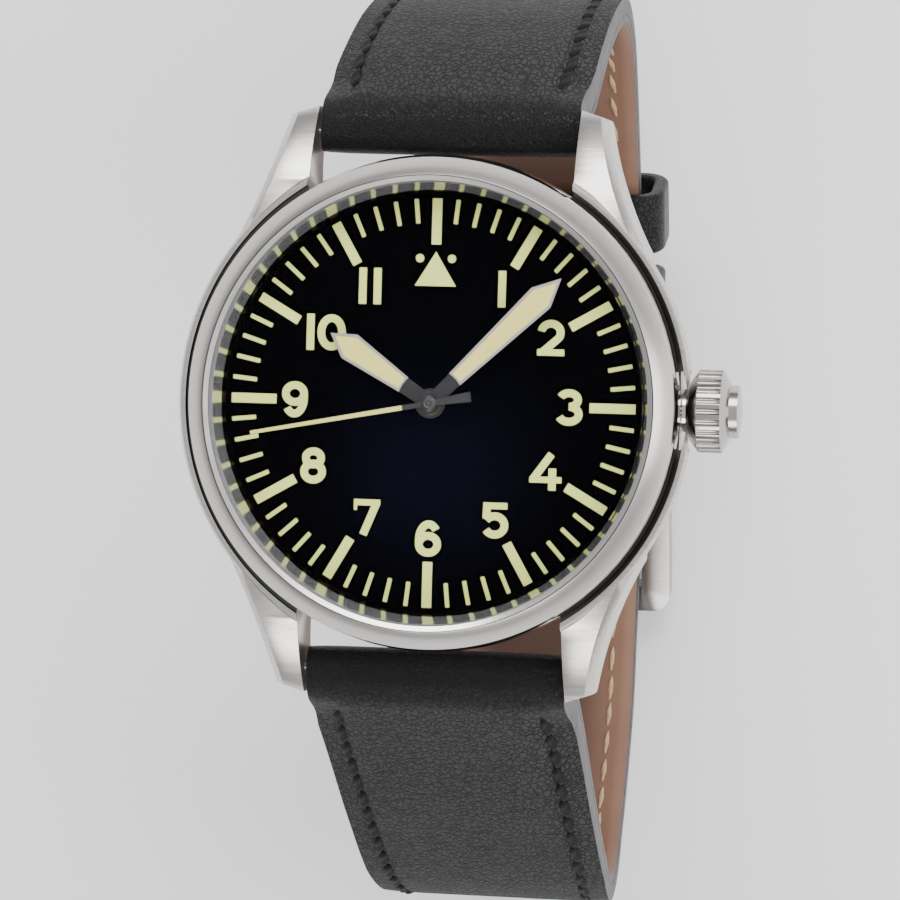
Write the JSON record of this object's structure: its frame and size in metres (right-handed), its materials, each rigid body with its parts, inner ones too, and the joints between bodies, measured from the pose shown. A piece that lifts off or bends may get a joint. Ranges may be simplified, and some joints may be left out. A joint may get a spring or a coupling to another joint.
{
  "type": "watch",
  "caption": "Pilot watch with steel case, domed crystal, luminous dial and sword hands over a hand-wound movement, on a closed leather strap with buckle and keepers",
  "frame": {"origin": "on the hands' axis, in the case back's outer flat face", "axes": "+X towards 3 o'clock and the crown, +Y towards 12 o'clock, +Z out of the dial"},
  "size_m": [0.0422, 0.0751, 0.0665],
  "materials": {
    "satin_steel": "brushed",
    "bezel_steel": "satin",
    "polished_steel": "polished",
    "crystal_glass": "clear",
    "black_rubber": "matte",
    "dial_black": "matte",
    "pale_lume": "matte",
    "hand_steel": "polished",
    "second_hand_black": "satin",
    "movement_nickel": "satin",
    "movement_brass": "satin",
    "movement_steel": "polished",
    "jewel_red": "gloss",
    "charcoal_leather": "grained",
    "tan_lining": "smooth"
  },
  "bodies": {
    "case": {"balance_cock": "movement_nickel", "barrel_bridge": "movement_nickel", "bezel": "bezel_steel", "bridge_screws": "movement_steel", "buckle_bar": "polished_steel", "case_back": "satin_steel", "case_back_gasket": "black_rubber", "case_middle": "satin_steel", "crown_tube": "polished_steel", "crystal": "crystal_glass", "crystal_gasket": "black_rubber", "dial": "dial_black", "dial_lume": "pale_lume", "fixed_keeper": "charcoal_leather", "flange_ring": "polished_steel", "hairspring": "movement_steel", "jewels": "jewel_red", "main_plate": "movement_nickel", "movement_ring": "movement_nickel", "pallet_bridge": "movement_nickel", "spring_bar_tubes": "polished_steel", "strap_lower_leather": "charcoal_leather", "strap_lower_lining": "tan_lining", "strap_upper_leather": "charcoal_leather", "strap_upper_lining": "tan_lining", "train_bridge": "movement_nickel"},
    "seconds": {"second_hand": "second_hand_black", "sweep_pinion": "movement_steel"},
    "fourth": {"fourth_wheel": "movement_brass"},
    "third": {"third_wheel": "movement_brass"},
    "centre": {"centre_wheel": "movement_brass"},
    "barrel_drum": {"barrel": "movement_brass", "mainspring": "movement_steel"},
    "escape": {"escape_wheel": "movement_steel"},
    "fork": {"pallet_fork": "movement_steel"},
    "balance": {"balance_wheel": "movement_brass"},
    "minutes": {"minute_hand": "hand_steel", "cannon_pinion": "movement_steel"},
    "motion": {"minute_wheel": "movement_brass"},
    "hours": {"hour_hand": "hand_steel", "hour_wheel": "movement_brass"},
    "setting": {"setting_wheel": "movement_steel"},
    "crown_seal": {"crown_gasket": "black_rubber"},
    "crown_and_stem": {"crown": "polished_steel", "winding_stem": "movement_steel"},
    "slider": {"sliding_pinion": "movement_steel"},
    "winder": {"winding_pinion": "movement_steel"},
    "crown_gear": {"crown_wheel": "movement_steel"},
    "ratchet": {"ratchet_wheel": "movement_steel", "barrel_arbor": "movement_steel"},
    "click_pawl": {"click": "movement_steel"},
    "detent": {"setting_lever": "movement_steel"},
    "yoke_arm": {"yoke": "movement_steel"},
    "frame_of_buckle": {"buckle_frame": "polished_steel"},
    "tongue_of_buckle": {"buckle_tongue": "polished_steel"},
    "loose_keeper": {"free_keeper": "charcoal_leather"},
    "pin_upper_left": {"bar_pin_upper_left": "polished_steel"},
    "pin_upper_right": {"bar_pin_upper_right": "polished_steel"},
    "pin_lower_left": {"bar_pin_lower_left": "polished_steel"},
    "pin_lower_right": {"bar_pin_lower_right": "polished_steel"}
  },
  "joints": [
    {"name": "seconds_turn", "type": "hinge", "parent": "case", "child": "seconds", "pos_m": [0, 0, 0.004], "axis": [0, 0, -1], "continuous": true},
    {"name": "fourth_turn", "type": "hinge", "parent": "case", "child": "fourth", "pos_m": [-0.00595, -0.00595, 0.004], "axis": [0, 0, -1], "continuous": true},
    {"name": "third_turn", "type": "hinge", "parent": "case", "child": "third", "pos_m": [-0.00469, -0.00126, 0.004], "axis": [0, 0, -1], "continuous": true},
    {"name": "centre_turn", "type": "hinge", "parent": "case", "child": "centre", "pos_m": [0, 0, 0.004], "axis": [0, 0, -1], "continuous": true},
    {"name": "barrel_turn", "type": "hinge", "parent": "case", "child": "barrel_drum", "pos_m": [0.0035, 0.00606, 0.004], "axis": [0, 0, -1], "continuous": true},
    {"name": "escape_turn", "type": "hinge", "parent": "case", "child": "escape", "pos_m": [-0.00197, -0.0074, 0.004], "axis": [0, 0, -1], "continuous": true},
    {"name": "fork_rock", "type": "hinge", "parent": "case", "child": "fork", "pos_m": [0.0007, -0.00752, 0.004], "axis": [0, 0, -1], "range_deg": [-5, 5]},
    {"name": "balance_swing", "type": "hinge", "parent": "case", "child": "balance", "pos_m": [0.0047, -0.0077, 0.004], "axis": [0, 0, -1], "range_deg": [-270, 270], "stiffness_Nm_per_rad": 0.0000005},
    {"name": "minutes_turn", "type": "hinge", "parent": "case", "child": "minutes", "pos_m": [0, 0, 0.004], "axis": [0, 0, -1], "continuous": true},
    {"name": "motion_turn", "type": "hinge", "parent": "case", "child": "motion", "pos_m": [0.003, 0, 0.004], "axis": [0, 0, -1], "continuous": true},
    {"name": "hours_turn", "type": "hinge", "parent": "case", "child": "hours", "pos_m": [0, 0, 0.004], "axis": [0, 0, -1], "continuous": true},
    {"name": "setting_turn", "type": "hinge", "parent": "case", "child": "setting", "pos_m": [0.00645, 0, 0.004], "axis": [0, 0, -1], "continuous": true},
    {"name": "crown_pull", "type": "slide", "parent": "case", "child": "crown_seal", "axis": [1, 0, 0], "range_m": [0, 0.001]},
    {"name": "crown_turn", "type": "hinge", "parent": "crown_seal", "child": "crown_and_stem", "pos_m": [0, 0, 0.0049], "axis": [1, 0, 0], "continuous": true},
    {"name": "slider_shift", "type": "slide", "parent": "crown_and_stem", "child": "slider", "axis": [1, 0, 0], "range_m": [-0.0019, 0]},
    {"name": "winder_turn", "type": "hinge", "parent": "case", "child": "winder", "pos_m": [0, 0, 0.0049], "axis": [1, 0, 0], "continuous": true},
    {"name": "crown_gear_turn", "type": "hinge", "parent": "case", "child": "crown_gear", "pos_m": [0.00819, 0.0006, 0.004], "axis": [0, 0, -1], "continuous": true},
    {"name": "ratchet_turn", "type": "hinge", "parent": "case", "child": "ratchet", "pos_m": [0.0035, 0.00606, 0.004], "axis": [0, 0, -1], "continuous": true},
    {"name": "click_lift", "type": "hinge", "parent": "case", "child": "click_pawl", "pos_m": [-0.00178, 0.00911, 0.004], "axis": [0, 0, 1], "range_deg": [0, 8], "stiffness_Nm_per_rad": 0.00001, "springref_deg": -5.73},
    {"name": "detent_swing", "type": "hinge", "parent": "case", "child": "detent", "pos_m": [0.01325, -0.003, 0.004], "axis": [0, 0, 1], "range_deg": [-22.8, 0]},
    {"name": "yoke_swing", "type": "hinge", "parent": "case", "child": "yoke_arm", "pos_m": [0.0093, -0.0046, 0.004], "axis": [0, 0, 1], "range_deg": [0, 14.1]},
    {"name": "buckle_frame_swing", "type": "hinge", "parent": "case", "child": "frame_of_buckle", "pos_m": [0, -0.002, -0.0487], "axis": [1, 0, 0], "range_deg": [0, 10]},
    {"name": "buckle_tongue_swing", "type": "hinge", "parent": "frame_of_buckle", "child": "tongue_of_buckle", "pos_m": [0, -0.002, -0.0487], "axis": [1, 0, 0], "range_deg": [0, 12]},
    {"name": "loose_keeper_slide", "type": "slide", "parent": "case", "child": "loose_keeper", "axis": [0, 0.9371, 0.3491], "range_m": [-0.0018, 0.0003]},
    {"name": "pin_upper_left_press", "type": "slide", "parent": "case", "child": "pin_upper_left", "axis": [1, 0, 0], "range_m": [0, 0.0011], "stiffness_N_per_m": 100, "springref_m": -0.002},
    {"name": "pin_upper_right_press", "type": "slide", "parent": "case", "child": "pin_upper_right", "axis": [-1, 0, 0], "range_m": [0, 0.0011], "stiffness_N_per_m": 100, "springref_m": -0.002},
    {"name": "pin_lower_left_press", "type": "slide", "parent": "case", "child": "pin_lower_left", "axis": [1, 0, 0], "range_m": [0, 0.0011], "stiffness_N_per_m": 100, "springref_m": -0.002},
    {"name": "pin_lower_right_press", "type": "slide", "parent": "case", "child": "pin_lower_right", "axis": [-1, 0, 0], "range_m": [0, 0.0011], "stiffness_N_per_m": 100, "springref_m": -0.002}
  ],
  "couplings": [
    {"joint": "fourth_turn", "follows": "seconds_turn", "ratio": 1},
    {"joint": "third_turn", "follows": "seconds_turn", "ratio": -0.13333},
    {"joint": "centre_turn", "follows": "seconds_turn", "ratio": 0.016667},
    {"joint": "barrel_turn", "follows": "seconds_turn", "ratio": -0.0027778},
    {"joint": "escape_turn", "follows": "seconds_turn", "ratio": -10},
    {"joint": "motion_turn", "follows": "minutes_turn", "ratio": -0.33333},
    {"joint": "hours_turn", "follows": "minutes_turn", "ratio": 0.083333},
    {"joint": "setting_turn", "follows": "minutes_turn", "ratio": 0.625},
    {"joint": "slider_shift", "follows": "crown_pull", "ratio": -1.9},
    {"joint": "detent_swing", "follows": "crown_pull", "rad_per_m": -396.3},
    {"joint": "yoke_swing", "follows": "crown_pull", "rad_per_m": 245.5},
    {"joint": "winder_turn", "follows": "crown_turn", "ratio": 1},
    {"joint": "crown_gear_turn", "follows": "crown_turn", "ratio": -0.57143},
    {"joint": "ratchet_turn", "follows": "crown_turn", "ratio": 0.36364}
  ]
}
